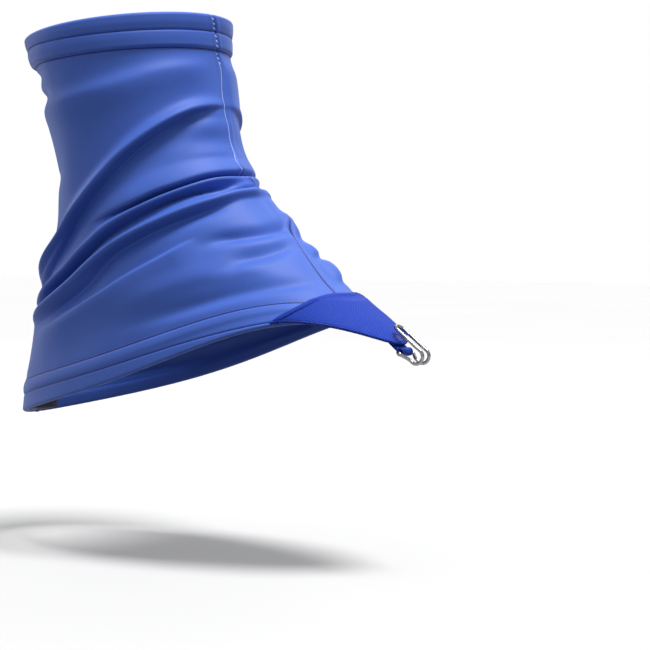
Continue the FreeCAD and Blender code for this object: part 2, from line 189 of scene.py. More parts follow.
# lift along the front of the inner side and along the rear, by station
INNER_FRONT = (
    (1.0, 0), (1.3, 1.2), (1.7, 1.9), (1.95, 0.9), (2.4, -0.5), (2.8, 0), (3.1, 0.1), (3.25, 0.6),
    (3.4, 1.1), (3.5, 1.3), (3.65, 3.0), (3.8, 2.4), (3.93, 0.6), (4.07, 2.2), (4.15, 2.3),
    (4.23, 0.7), (4.33, 2.6), (4.45, 3.1), (4.54, 2.5), (4.61, 0.9), (4.72, 0.7), (4.85, 0),
)
REAR = (
    (0, 0), (0.5, -1.2), (0.98, -2.2), (1.15, -4.0), (1.33, -2.6), (1.44, -3.9), (1.6, -0.4),
    (1.8, -0.3), (2.0, -0.8), (2.3, -2.1), (2.4, -2.8), (2.6, -1.9), (3.05, -1.8), (3.3, 0.4),
    (4.5, 0.7), (5.2, 0.4), (5.6, 0), (6, 0),
)

# ripples beside the seam above the ankle: lift, spacing in stations and where they start
RIPPLE_LIFT, RIPPLE_SPACING, RIPPLE_START = 0.55, 0.5, 2.02
# unevenness of the whole skin: a slow swell and a finer one
SLOW_SWELL, FINE_SWELL = 0.3, 0.2

# how far the cuff and the hem stand off the wall, and swell between their stitch rows
CUFF_PUFF, HEM_PUFF = 1.2, 0.5
CUFF_SWELL, HEM_SWELL = 0.3, 0.4
# depth and width, in stations, of the dip at each stitch row
UPPER_DIP, UPPER_DIP_WIDTH = 0.95, 0.03
LOWER_DIP, LOWER_DIP_WIDTH = 0.85, 0.03
HEM_DIP, HEM_DIP_WIDTH = 0.65, 0.035
# depth and width of the dip at a seam, and height, width and place of the welts beside it
SEAM_DIP, SEAM_DIP_WIDTH = 0.85, 0.8
WELT, WELT_WIDTH, WELT_PLACE = 0.3, 0.9, 2.1
# angle over which the skin follows the front seam as it wanders
SEAM_PULL = 42


def one_side(angle, station, per_degree, per_station, inner):
    """Lift and slide that the folds add where angle is measured towards their own side."""
    lift, slide = 0.0, 0.0
    for each in FOLDS:
        crest = curve(each["path"], angle)
        steep = (curve(each["path"], angle + 1) - curve(each["path"], angle - 1)) / 2
        lean = 1 / np.sqrt(1 + (steep * per_station / per_degree) ** 2)
        distance = (station - crest) * per_station * lean
        start, full, fading, end = each["fade"]
        strength = smooth_step(start, full, angle) * (1 - smooth_step(fading, end, angle))
        if inner:
            strength = strength * each["inner"]
        width = np.where(distance < 0, each["above"], each["below"])
        lift = lift + each["height"] * strength * bell(distance, width)
        slide = slide + each["hang"] * strength * bell(distance, each["below"] + 2)
    return lift, slide


def relief(angle, station):
    """Lift and slide of the worn, folded fabric off the plain skin."""
    outward, around, along = directions(angle, station)
    per_degree = np.linalg.norm(around, axis=-1)
    per_station = np.linalg.norm(along, axis=-1)
    outer_lift, outer_slide = one_side(angle, station, per_degree, per_station, False)
    inner_lift, inner_slide = one_side(-angle, station, per_degree, per_station, True)
    side = smooth_step(-14, 4, angle)
    lift = outer_lift * side + inner_lift * (1 - side)
    slide = outer_slide * side + inner_slide * (1 - side)
    scallop = smooth_step(-75, -38, angle) * (1 - smooth_step(-12, -3, angle))
    lift = lift + curve(INNER_FRONT, station) * scallop
    shin = smooth_step(1.95, 2.1, station) * (1 - smooth_step(2.6, 2.8, station))
    wave = np.sin(2 * np.pi * (station - RIPPLE_START) / RIPPLE_SPACING)
    lift = lift + RIPPLE_LIFT * wave * bell(angle - 16, 20) * shin
    turn = np.radians(angle)
    lift = lift + SLOW_SWELL * np.sin(3 * turn + 2.1 * station) * np.sin(1.7 * station + 0.6)
    lift = lift + FINE_SWELL * np.sin(7 * turn - 3.3 * station + 1.0)
    # nothing moves at the cuff or the hem, and the tab holds the front down
    hold = smooth_step(1.0, 1.4, station) * (1 - smooth_step(4.65, 5.0, station))
    front = 1 - bell(angle, 38) * smooth_step(4.55, 4.8, station)
    rear = smooth_step(108, 135, np.abs(angle)) * curve(REAR, station)
    return lift * hold * front + rear, slide * hold * front


def cuff_upper_row(angle):
    """Station of the cuff's upper stitch row, a little higher at the rear."""
    return curve(((0, 0.58), (60, 0.59), (100, 0.55), (140, 0.47), (180, 0.45)), np.abs(angle))


def cuff_lower_row(angle):
    """Station of the row that closes the cuff's lower edge."""
    return curve(((0, 1.02), (90, 1.01), (140, 0.97), (180, 0.96)), np.abs(angle))


def hem_row(angle):
    """Station of the hem's lower stitch row, which runs out to the edge at the tab."""
    return curve(((0, 5.92), (46, 5.88), (60, 5.8), (80, 5.58), (100, 5.47), (180, 5.45)), np.abs(angle))


def seam_groove(angle, station):
    """How far the skin dips into the front and rear seams, less the welts beside them."""
    per_degree = np.linalg.norm(directions(angle, station)[1], axis=-1)
    to_seam = np.minimum(np.abs(angle), 180 - np.abs(angle)) * per_degree
    return SEAM_DIP * bell(to_seam, SEAM_DIP_WIDTH) - WELT * bell(to_seam - WELT_PLACE, WELT_WIDTH)


def fold_puff(angle, station):
    """The cuff and the hem swell between their stitch rows and stand off the wall."""
    upper, lower = cuff_upper_row(angle), cuff_lower_row(angle)
    cuff = 1 - smooth_step(lower - 0.012, lower + 0.012, station)
    hem = smooth_step(5.0, 5.03, station)
    lift = CUFF_PUFF * cuff + HEM_PUFF * hem
    lift = lift + CUFF_SWELL * bell(station - upper / 2, 0.2)
    lift = lift + CUFF_SWELL * bell(station - (upper + lower) / 2, 0.15)
    lift = lift + HEM_SWELL * bell(station - 5.26, 0.15) * hem
    lift = lift - UPPER_DIP * bell(station - upper, UPPER_DIP_WIDTH)
    lift = lift - LOWER_DIP * bell(station - lower, LOWER_DIP_WIDTH)
    lift = lift - HEM_DIP * bell(station - HEM_SEAM, HEM_DIP_WIDTH)
    return lift - HEM_DIP * bell(station - hem_row(angle), HEM_DIP_WIDTH)


def seam_angle(station):
    """The front seam wanders a little as the folds pull it."""
    return curve(((0, 2), (0.6, -1.5), (1, -3.5), (1.3, -6), (1.7, -4), (2.3, -3), (2.6, -2), (2.85, 1),
                  (3.02, -3), (3.2, -15), (3.35, -22), (3.55, -22), (3.7, -11), (3.82, -6.5), (4.2, 1.5),
                  (4.75, 8), (6, 6)), station)


def warp(angle, station):
    """Carry the fabric's own angle to the angle on the leg, following the seam."""
    return angle + seam_angle(station) * bell(angle, SEAM_PULL)


def fabric(angle, station, depth):
    """Points of the sleeve's cloth at a depth under its outer face."""
    on_leg = warp(angle, station)
    lift, slide = relief(on_leg, station)
    lift = lift + fold_puff(on_leg, station) - seam_groove(angle, station)
    return skin(on_leg, station, lift - depth, slide)


# ---------------------------------------------------------------- meshes

def make_object(name, vertices, faces, material, uv=None):
    """A mesh object from millimetre points; uv gives one pair per vertex, in metres."""
    mesh = bpy.data.meshes.new(name)
    mesh.from_pydata((np.asarray(vertices) * MM).tolist(), [], faces)
    mesh.polygons.foreach_set("use_smooth", np.ones(len(mesh.polygons), bool))
    if uv is not None:
        layer = mesh.uv_layers.new(name="cloth")
        corner = np.empty(len(mesh.loops), int)
        mesh.loops.foreach_get("vertex_index", corner)
        layer.data.foreach_set("uv", np.asarray(uv)[corner].ravel())
    mesh.materials.append(material)
    mesh.validate()
    piece = bpy.data.objects.new(name, mesh)
    bpy.context.scene.collection.objects.link(piece)
    return piece


def grid_faces(rows, columns, loop_columns=False):
    """Faces of a grid of vertices; with loop_columns the last column joins the first."""
    column_count = columns if loop_columns else columns - 1
    r, c = np.meshgrid(np.arange(rows - 1), np.arange(column_count), indexing="ij")
    below, beside = r + 1, (c + 1) % columns
    corners = [r * columns + c, r * columns + beside, below * columns + beside, below * columns + c]
    return np.stack([k.ravel() for k in corners], -1).tolist()


def enclosed(vertices, faces):
    """Volume that four-sided faces enclose, negative if they face inward."""
    a, b, c, d = (vertices[faces[:, k]] for k in range(4))
    return (np.cross(b - a, c - a) * a + np.cross(c - a, d - a) * a).sum() / 6


def closed_sheet(name, near, far, material):
    """A closed thin body between two grids of points that share their rim."""
    rows, columns = near.shape[:2]
    count = rows * columns
    front = np.array(grid_faces(rows, columns))
    back = front[:, ::-1] + count
    index = np.arange(count).reshape(rows, columns)
    rim = np.concatenate([index[0, :-1], index[:-1, -1], index[-1, :0:-1], index[:0:-1, 0]])
    after = np.roll(rim, -1)
    walls = np.stack([after, rim, rim + count, after + count], -1)
    faces = np.concatenate([front, back, walls])
    vertices = np.concatenate([near.reshape(-1, 3), far.reshape(-1, 3)])
    if enclosed(vertices, faces) < 0:
        faces = faces[:, ::-1]
    middle = (near + far) / 2
    step_down = np.linalg.norm(np.diff(middle, axis=0), axis=-1).mean(axis=1)
    step_across = np.linalg.norm(np.diff(middle, axis=1), axis=-1).mean(axis=0)
    down = np.concatenate([[0], np.cumsum(step_down)]) * MM
    across = np.concatenate([[0], np.cumsum(step_across)]) * MM
    uv = np.stack(np.meshgrid(across, down), -1).reshape(-1, 2)
    return make_object(name, vertices, faces.tolist(), material, np.concatenate([uv, uv]))


def unit(vectors):
    """The same directions with length 1."""
    return vectors / np.linalg.norm(vectors, axis=-1, keepdims=True)


def thickened(points, thickness):
    """Two grids half a thickness each side of a grid of points."""
    across = np.gradient(points, axis=1)
    down = np.gradient(points, axis=0)
    normal = unit(np.cross(down, across))
    return points + normal * thickness / 2, points - normal * thickness / 2


def capsules(name, starts, ends, normals, radius, material, flat=0.75):
    """Short rounded stitches from starts to ends, as one object.

    flat is their thickness along the normals as a share of their width.
    """
    sides, caps = 8, 3
    profile = []
    for step in range(caps):
        lean = math.pi / 2 * (1 - step / caps)
        profile.append((-math.sin(lean), math.cos(lean), 0))
    profile += [(0, 1, 0), (0, 1, 1)]
    for step in range(1, caps + 1):
        lean = math.pi / 2 * step / caps
        profile.append((math.sin(lean), math.cos(lean), 1))
    turn = np.arange(sides) * 2 * math.pi / sides
    axis = unit(ends - starts)
    up = unit(normals)
    side = unit(np.cross(axis, up))
    up = np.cross(side, axis)
    hoops = []
    for push, width, end in profile:
        centre = (ends if end else starts) + axis * push * radius
        hoop = (centre[:, None] + side[:, None] * (np.cos(turn) * width * radius)[None, :, None]
                + up[:, None] * (np.sin(turn) * width * radius * flat)[None, :, None])
        hoops.append(hoop)
    solid = np.stack(hoops, 1)
    count, rings = solid.shape[:2]
    one = np.array(grid_faces(rings, sides, loop_columns=True))
    size = rings * sides
    faces = (one[None] + (np.arange(count) * size)[:, None, None]).reshape(-1, 4)
    return make_object(name, solid.reshape(-1, 3), faces.tolist(), material)


def along_line(points, pitch):
    """Places evenly spaced at a pitch along a line of points, with their directions."""
    reach = 0.3
    length = np.concatenate([[0], np.cumsum(np.linalg.norm(np.diff(points, axis=0), axis=1))])
    marks = np.arange(pitch / 2, length[-1], pitch)
    place = np.stack([np.interp(marks, length, points[:, k]) for k in range(3)], -1)
    ahead = np.stack([np.interp(marks + reach, length, points[:, k]) for k in range(3)], -1)
    back = np.stack([np.interp(marks - reach, length, points[:, k]) for k in range(3)], -1)
    return place, unit(ahead - back)


def nearest_index(line, places):
    """Index of the point of a line that is nearest to each place."""
    return np.argmin(np.linalg.norm(line[None] - places[:, None], axis=-1), axis=1)


def stitched_line(name, line, outward, pitch, stitch, radius, material):
    """A row of stitches along a line of points; outward is one vector per point."""
    sunk_share = 0.1
    place, ahead = along_line(line, pitch)
    normals = outward[nearest_index(line, place)]
    half = ahead * stitch / 2
    sunk = normals * radius * sunk_share
    return capsules(name, place - half - sunk, place + half - sunk, normals, radius, material)


def join(name, pieces):
    """Make one object of several."""
    with bpy.context.temp_override(active_object=pieces[0], selected_editable_objects=pieces):
        bpy.ops.object.join()
    pieces[0].name = name
    return pieces[0]


def finish_piece(piece, slot, *nodes):
    """Every piece of the sleeve rides on it and stands for its nodes, which it hides; slot is not used."""
    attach(piece, "sleeve")
    if nodes:
        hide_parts(*nodes)
    return piece


# ---------------------------------------------------------------- materials

def new_material(name):
    """A material with its nodes, its links and its main shader."""
    material = bpy.data.materials.new(name)
    material.use_nodes = True
    nodes, links = material.node_tree.nodes, material.node_tree.links
    return material, nodes, links, nodes["Principled BSDF"]


def set_inputs(shader, **values):
    """Set inputs of a shader by name, with an underscore for each space."""
    for name, value in values.items():
        shader.inputs[name.replace("_", " ")].default_value = value


def colour_mix(nodes, links, factor, low, high):
    """A colour between low and high by a factor socket."""
    mix = nodes.new("ShaderNodeMix")
    mix.data_type = "RGBA"
    links.new(factor, mix.inputs[0])
    mix.inputs[6].default_value = (*low, 1)
    mix.inputs[7].default_value = (*high, 1)
    return mix.outputs[2]


def noise(nodes, links, vector, scale, detail=3.0):
    """Soft noise between 0 and 1."""
    texture = nodes.new("ShaderNodeTexNoise")
    texture.inputs["Scale"].default_value = scale
    texture.inputs["Detail"].default_value = detail
    links.new(vector, texture.inputs["Vector"])
    return texture.outputs["Fac"]


def math_node(nodes, links, operation, first, second):
    """One operation on two sockets or numbers."""
    node = nodes.new("ShaderNodeMath")
    node.operation = operation
    for socket, value in zip(node.inputs, (first, second)):
        if isinstance(value, (int, float)):
            socket.default_value = value
        else:
            links.new(value, socket)
    return node.outputs[0]


def scaled(nodes, links, socket, factor, base):
    """A socket times a number, plus a base that is a number or another socket."""
    return math_node(nodes, links, "ADD", math_node(nodes, links, "MULTIPLY", socket, factor), base)


def add_bump(nodes, links, shader, height, strength, distance):
    """Fine relief from a height socket; distance is in metres."""
    bump = nodes.new("ShaderNodeBump")
    bump.inputs["Strength"].default_value = strength
    bump.inputs["Distance"].default_value = distance
    links.new(height, bump.inputs["Height"])
    links.new(bump.outputs["Normal"], shader.inputs["Normal"])


def knit_material():
    """Smooth polyester and elastane knit: fine wales, satin gloss, faint cloudiness."""
    material, nodes, links, shader = new_material("blue_knit")
    place = nodes.new("ShaderNodeTexCoord")
    cloud = noise(nodes, links, place.outputs["Object"], 35)
    fine = noise(nodes, links, place.outputs["Object"], 900, 2)
    blend = scaled(nodes, links, cloud, 0.6, math_node(nodes, links, "MULTIPLY", fine, 0.4))
    colour = colour_mix(nodes, links, blend, (0.035, 0.092, 0.41), (0.052, 0.126, 0.525))
    links.new(colour, shader.inputs["Base Color"])
    wales = nodes.new("ShaderNodeTexWave")
    wales.wave_profile = "SIN"
    wales.inputs["Scale"].default_value = 560
    wales.inputs["Distortion"].default_value = 0.6
    links.new(place.outputs["UV"], wales.inputs["Vector"])
    height = math_node(nodes, links, "ADD", wales.outputs["Fac"], fine)
    add_bump(nodes, links, shader, height, 0.16, 0.00012)
    links.new(scaled(nodes, links, fine, 0.10, 0.52), shader.inputs["Roughness"])
    set_inputs(shader, Sheen_Weight=0.25, Sheen_Roughness=0.35, Specular_IOR_Level=0.32)
    shader.inputs["Sheen Tint"].default_value = (0.55, 0.68, 1.0, 1)
    return material


def webbing_material():
    """Ribbed elastic webbing, deeper blue than the knit."""
    material, nodes, links, shader = new_material("ribbed_webbing")
    place = nodes.new("ShaderNodeTexCoord")
    ribs = nodes.new("ShaderNodeTexWave")
    ribs.inputs["Scale"].default_value = 290
    ribs.inputs["Distortion"].default_value = 1.2
    ribs.inputs["Detail Scale"].default_value = 3
    links.new(place.outputs["UV"], ribs.inputs["Vector"])
    turned = nodes.new("ShaderNodeMapping")
    turned.inputs["Rotation"].default_value = (0, 0, math.radians(52))
    links.new(place.outputs["UV"], turned.inputs["Vector"])
    cross = nodes.new("ShaderNodeTexWave")
    cross.inputs["Scale"].default_value = 380
    links.new(turned.outputs["Vector"], cross.inputs["Vector"])
    weave = math_node(nodes, links, "MULTIPLY", ribs.outputs["Fac"], cross.outputs["Fac"])
    fuzz = noise(nodes, links, place.outputs["Object"], 700, 2)
    shade = scaled(nodes, links, weave, 0.7, math_node(nodes, links, "MULTIPLY", fuzz, 0.3))
    colour = colour_mix(nodes, links, shade, (0.004, 0.024, 0.26), (0.012, 0.062, 0.50))
    links.new(colour, shader.inputs["Base Color"])
    add_bump(nodes, links, shader, weave, 0.6, 0.0003)
    links.new(scaled(nodes, links, fuzz, 0.15, 0.5), shader.inputs["Roughness"])
    set_inputs(shader, Specular_IOR_Level=0.16)
    return material


def thread_material(name, dark, light):
    """Twisted sewing thread."""
    material, nodes, links, shader = new_material(name)
    place = nodes.new("ShaderNodeTexCoord")
    twist = noise(nodes, links, place.outputs["Object"], 1500, 2)
    links.new(colour_mix(nodes, links, twist, dark, light), shader.inputs["Base Color"])
    add_bump(nodes, links, shader, twist, 0.5, 0.0001)
    set_inputs(shader, Roughness=0.55, Specular_IOR_Level=0.4)
    return material


def steel_material():
    """Polished stainless wire with faint drawing marks."""
    material, nodes, links, shader = new_material("polished_steel")
    place = nodes.new("ShaderNodeTexCoord")
    marks = noise(nodes, links, place.outputs["Object"], 600, 4)
    links.new(colour_mix(nodes, links, marks, (0.20, 0.20, 0.21), (0.36, 0.36, 0.37)),
              shader.inputs["Base Color"])
    links.new(scaled(nodes, links, marks, 0.16, 0.1), shader.inputs["Roughness"])
    add_bump(nodes, links, shader, marks, 0.1, 0.00005)
    set_inputs(shader, Metallic=1.0)
    return material


def elastic_material():
    """White knitted elastic, fine cords side by side."""
    material, nodes, links, shader = new_material("white_elastic")
    place = nodes.new("ShaderNodeTexCoord")
    cords = nodes.new("ShaderNodeTexWave")
    cords.bands_direction = "Z"
    cords.inputs["Scale"].default_value = 300
    links.new(place.outputs["Object"], cords.inputs["Vector"])
    links.new(colour_mix(nodes, links, cords.outputs["Fac"], (0.55, 0.56, 0.6), (0.8, 0.8, 0.82)),
              shader.inputs["Base Color"])
    add_bump(nodes, links, shader, cords.outputs["Fac"], 0.5, 0.0002)
    set_inputs(shader, Roughness=0.7)
    return material


def hook_tape_material():
    """Black moulded nylon hook tape."""
    material, nodes, links, shader = new_material("hook_tape")
    place = nodes.new("ShaderNodeTexCoord")
    grain = noise(nodes, links, place.outputs["Object"], 800, 3)
    links.new(colour_mix(nodes, links, grain, (0.012, 0.012, 0.014), (0.035, 0.035, 0.04)),
              shader.inputs["Base Color"])
    add_bump(nodes, links, shader, grain, 0.3, 0.0002)
    set_inputs(shader, Roughness=0.42)
    return material


def floor_material():
    """Plain pale floor, very slightly uneven in tone."""
    material, nodes, links, shader = new_material("pale_floor")
    place = nodes.new("ShaderNodeTexCoord")
    tone = noise(nodes, links, place.outputs["Object"], 3)
    links.new(colour_mix(nodes, links, tone, (0.48, 0.48, 0.48), (0.51, 0.51, 0.51)),
              shader.inputs["Base Color"])
    set_inputs(shader, Roughness=0.8)
    return material


KNIT = knit_material()
WEBBING = webbing_material()
NAVY = thread_material("navy_thread", (0.006, 0.012, 0.11), (0.015, 0.03, 0.2))
WEBBING_BLUE = thread_material("webbing_blue_thread", (0.008, 0.022, 0.20), (0.02, 0.05, 0.36))
# pale thread for the stitches at the cuff, and a painted highlight: the thin pale line down the front seam
# stands in for the seam's edge catching the light
PALE_THREAD_AND_HIGHLIGHT = thread_material("pale_thread", (0.58, 0.64, 0.86), (0.78, 0.83, 0.97))
STEEL = steel_material()
ELASTIC = elastic_material()
TAPE = hook_tape_material()


# ---------------------------------------------------------------- the sleeve's two panels

# thickness of the cloth, spacing of its two layers where they are sewn together, and their
# spacing where they leave room for an elastic
CLOTH, SEWN_LAYERS, CUFF_POCKET, HEM_POCKET = 0.8, 0.95, 2.9, 2.1


def panel_path():
    """Down the cloth from inside the cuff, over its fold, down the wall and into the hem.

    Gives (station, extra depth) pairs: the extra depth is 0 on the outer face's cloth.
    """
    cuff_turn, hem_turn = 0.06, 0.05
    cuff_start, hem_start = CUFF_EDGE + cuff_turn, HEM_EDGE - hem_turn
    steps = np.linspace(1.08, cuff_start, 14)
    cuff_room, hem_room = CUFF_POCKET - SEWN_LAYERS, HEM_POCKET - SEWN_LAYERS
    inner_cuff = [(s, SEWN_LAYERS + cuff_room * (1 - smooth_step(0.38, 0.55, s))) for s in steps]
    turn = np.linspace(0, math.pi, 9)[1:-1]
    top = [(cuff_start - cuff_turn * math.sin(t), CUFF_POCKET / 2 * (1 + math.cos(t))) for t in turn]
    # the wall's rows are closest where the folds are
    outer = [(s, 0.0) for s in np.concatenate([
        np.linspace(cuff_start, 0.92, 26), np.linspace(0.94, 1.06, 14), np.linspace(1.08, 1.75, 22),
        np.linspace(1.77, 4.2, 190), np.linspace(4.23, 4.96, 24), np.linspace(4.98, hem_start, 36)])]
    bottom = [(hem_start + hem_turn * math.sin(t), HEM_POCKET / 2 * (1 - math.cos(t))) for t in turn]
    steps = np.linspace(hem_start, 4.97, 14)
    inner_hem = [(s, SEWN_LAYERS + hem_room * smooth_step(5.46, 5.62, s)) for s in steps]
    return np.array(inner_cuff + top + outer + bottom + inner_hem)


def make_panel(name, node, side):
    """One half of the sleeve; side is 1 for the outer half and -1 for the inner."""
    path = panel_path()
    # the columns are closest beside the two seams
    edge = np.array([0.0, 0.3, 0.6, 0.95, 1.3, 1.75])
    angles = side * np.concatenate([edge, np.linspace(2.2, 177.8, 176), 180 - edge[::-1]])
    angle, station = np.meshgrid(angles, path[:, 0])
    depth = np.broadcast_to(path[:, 1:], angle.shape)
    points = fabric(angle, station, depth + CLOTH / 2)
    if side < 0:
        points = points[:, ::-1]
    near, far = thickened(points, CLOTH)
    piece = closed_sheet(name, far, near, KNIT)
    finish_piece(piece, "knit", node)


make_panel("lateral_sleeve_panel", "lateral_panel", 1)
make_panel("medial_sleeve_panel", "medial_panel", -1)


# ---------------------------------------------------------------- stitches on the sleeve

def ring_line(station):
    """A closed line right round the sleeve's outer face, with its outward vectors."""
    angles = np.linspace(-180, 180, 721)
    stations = station(angles) if callable(station) else np.full(angles.shape, station)
    points = fabric(angles, stations, 0.0)
    return points, directions(warp(angles, stations), stations)[0]


ROWS = (
    ("cuff_upper_row", "cuff_upper_stitching", cuff_upper_row),
    ("cuff_lower_row", "cuff_lower_stitching", cuff_lower_row),
    ("hem_upper_row", "hem_upper_stitching", HEM_SEAM),
    ("hem_lower_row", "hem_lower_stitching", hem_row),
)
for row_name, row_node, row_station in ROWS:
    line, outward = ring_line(row_station)
    row = stitched_line(row_name, line, outward, pitch=2.6, stitch=2.1, radius=0.5, material=NAVY)
    finish_piece(row, "thread", row_node)


def seam_stitches(name, centre, first, last, pitch, half_across, half_along, radius, material):
    """Stitches along a seam, leaning across it by the two half lengths."""
    raise_by = 0.3
    stations = np.linspace(first, last, 500)
    line = fabric(np.full(stations.shape, float(centre)), stations, 0.0)
    place, ahead = along_line(line, pitch)
    outward = directions(np.full(stations.shape, float(centre)), stations)[0][nearest_index(line, place)]
    across = unit(np.cross(outward, ahead))
    half = across * half_across + ahead * half_along
    raised = outward * raise_by
    return capsules(name, place - half + raised, place + half + raised, outward, radius, material)


FRONT, REAR_SEAM = 0, 180
bars = seam_stitches("front_seam_bars", FRONT, 0.04, 1.25, pitch=2.3, half_across=0.7,
                     half_along=0.6, radius=0.3, material=PALE_THREAD_AND_HIGHLIGHT)
# painted highlight: below the cuff, a thin line of pale thread stands in for the seam's edge catching the
# light
thin = seam_stitches("front_seam_painted_highlight", FRONT, 1.25, 3.55, pitch=1.5, half_across=0.0,
                     half_along=0.6, radius=0.13, material=PALE_THREAD_AND_HIGHLIGHT)
finish_piece(join("front_seam_pale_stitches_and_painted_highlight", [bars, thin]), "pale_thread", "front_seam_thread")
dark = seam_stitches("front_seam_dark_stitches", FRONT, 3.62, 4.78, pitch=1.9, half_across=0.0,
                     half_along=0.8, radius=0.4, material=NAVY)
finish_piece(dark, "thread")
rear = seam_stitches("rear_seam_stitches", REAR_SEAM, 0.04, 5.96, pitch=2.4, half_across=0.6,
                     half_along=0.5, radius=0.26, material=NAVY)
finish_piece(rear, "thread", "rear_seam_thread")


# ---------------------------------------------------------------- front tab

# half angles of the tab and of its tongue, and stations of its edges
TAB_HALF, TIP_HALF = 50.0, 46.0
TAB_TOP, TAB_TOP_FALL, TAB_BASE, TAB_TONGUE = 4.82, 1.15, 6.04, 0.78
# heights of its two faces, and its grooves' distances from the upper and lower edges
TAB_OUTSIDE, TAB_INSIDE = 1.25, 0.05
UPPER_GROOVE, LOWER_GROOVE = 2.45, 1.5
RIB_HEIGHT = 0.07


def tab_edges(across):
    """Stations of the tab's upper and lower edges; across runs from -1 to 1 round the leg."""
    upper = TAB_TOP + TAB_TOP_FALL * np.abs(across) ** 3.0
    bend = np.clip(across * TAB_HALF / TIP_HALF, -1, 1) * math.pi / 2
    return upper, TAB_BASE + TAB_TONGUE * np.maximum(np.cos(bend), 0)


def tab_surface(down, across, lift):
    """Points of the tab; down runs from 0 at its upper edge to 1 at its lower edge."""
    upper, lower = tab_edges(across)
    station = upper + (lower - upper) * down
    over_hem = 0.12 + 0.93 * smooth_step(4.9, 5.06, station)
    return skin(across * TAB_HALF, station, over_hem + lift)


def make_tab():
    """The ribbed webbing, with a raised border along both edges and a groove inside each."""
    rows, columns = 61, 321
    down, across = np.meshgrid(np.linspace(0, 1, rows), np.linspace(-1, 1, columns), indexing="ij")
    flat = tab_surface(down, across, 0.0)
    from_top = np.concatenate([np.zeros((1, columns)), np.cumsum(
        np.linalg.norm(np.diff(flat, axis=0), axis=-1), axis=0)])
    from_end = from_top[-1:] - from_top
    round_run = np.concatenate([np.zeros((rows, 1)), np.cumsum(
        np.linalg.norm(np.diff(flat, axis=1), axis=-1), axis=1)], axis=1)[rows // 2][None]
    ribs = RIB_HEIGHT * np.sin(2 * math.pi * (0.75 * round_run + 0.66 * from_top))
    inside = smooth_step(2.6, 3.2, from_top) * smooth_step(1.5, 2.0, from_end)
    border = 0.4 * (1 - smooth_step(2.0, 2.5, from_top)) + 0.25 * (1 - smooth_step(1.1, 1.5, from_end))
    grooves = -0.35 * bell(from_top - UPPER_GROOVE, 0.35) - 0.3 * bell(from_end - LOWER_GROOVE, 0.3)
    rounding = -0.45 * bell(from_top, 0.4) - 0.45 * bell(from_end, 0.4)
    outer = tab_surface(down, across, TAB_OUTSIDE + ribs * inside + border + grooves + rounding)
    inner = tab_surface(down, across, TAB_INSIDE - 0.5 * rounding)
    piece = closed_sheet("front_tab_webbing", outer, inner, WEBBING)
    finish_piece(piece, "webbing", "front_tab")


def tab_row(name, distance, from_lower, reach):
    """Stitches along the tab, a distance in millimetres from one of its edges."""
    across = np.linspace(-reach, reach, 400)
    upper, lower = tab_edges(across)
    top = tab_surface(np.zeros(across.shape), across, 0.0)
    bottom = tab_surface(np.ones(across.shape), across, 0.0)
    height = np.linalg.norm(bottom - top, axis=-1)
    down = 1 - distance / height if from_lower else distance / height
    points = tab_surface(down, across, 1.0)
    station = upper + (lower - upper) * down
    outward = directions(across * TAB_HALF, station)[0]
    return stitched_line(name, points, outward, pitch=2.3, stitch=1.7, radius=0.24, material=NAVY)


make_tab()
upper_rows = [tab_row("tab_row_a", 0.9, False, 0.93), tab_row("tab_row_b", UPPER_GROOVE, False, 0.9)]
finish_piece(join("tab_upper_rows", upper_rows), "thread", "tab_upper_stitching")
finish_piece(tab_row("tab_lower_row", LOWER_GROOVE, True, 0.93), "thread", "tab_lower_stitching")


# ---------------------------------------------------------------- keeper and its stitches

# the tab's tip, the direction in which it points there and the one that stands up off it
TIP = TAB_BASE + TAB_TONGUE
slope = unit(ring(0.0, TIP) - ring(0.0, TIP - 0.1))
rise = np.array([-slope[2], 0, slope[0]])


def keeper_point(forward, up, side):
    """A point in the keeper's own frame: forward along the tab, up off it, side along Y."""
    return HINGE + forward[..., None] * slope + up[..., None] * rise + side[..., None] * np.array([0, 1, 0])


def make_keeper():
    """Webbing folded round the hook's crossbar, its two layers meeting in a tongue."""
    radius, length, wall, half_width, thickness = 1.5, 9.0, 0.42, 4, 0.76
    rib_height = 0.05
    meet = math.acos(wall / radius)
    tongue = np.linspace(length, radius * math.sin(meet), 24)
    sweep = np.linspace(math.pi / 2 + meet, -math.pi / 2 - meet, 34)
    forward = np.concatenate([-tongue, radius * np.cos(sweep[1:-1]), -tongue[::-1]])
    flat = np.full(tongue.shape, wall)
    up = np.concatenate([flat, radius * np.sin(sweep[1:-1]), -flat])
    side = np.linspace(-half_width, half_width, 33)
    f, s = np.meshgrid(forward, side, indexing="ij")
    u = np.broadcast_to(up[:, None], f.shape)
    points = keeper_point(f, u, s)
    near, far = thickened(points, thickness)
    rib = rib_height * np.sin(2 * math.pi * s)[..., None] * unit(near - far)
    piece = closed_sheet("hook_keeper_webbing", near + rib, far, WEBBING)
    finish_piece(piece, "webbing", "hook_keeper")


def make_bartack():
    """Dense zigzag rows through the tab's tip and the keeper's tongue."""
    first_row, row_step, row_height, lean = 0.82, 0.045, 0.035, 0.007
    lift = TAB_OUTSIDE + 0.07
    across = np.linspace(-0.085, 0.085, 12)
    starts, ends = [], []
    for row in range(3):
        down = np.full(across.shape, first_row + row_step * row)
        starts.append(tab_surface(down, across, lift))
        ends.append(tab_surface(down + row_height, across + lean, lift))
    starts, ends = np.concatenate(starts), np.concatenate(ends)
    outward = np.broadcast_to(rise, starts.shape)
    piece = capsules("hook_bartack_rows", starts, ends, outward, 0.24, WEBBING_BLUE)
    finish_piece(piece, "thread", "hook_bartack")


make_keeper()
make_bartack()


# ---------------------------------------------------------------- heel patch

# lifts off the skin, below zero because the patch is inside: its face, its back, its stitches
# and the feet and tips of its hooks
PATCH_FACE, PATCH_BACK, PATCH_ROW, HOOK_FOOT, HOOK_TIP = -3.6, -2.4, -3.62, -3.55, -4.5


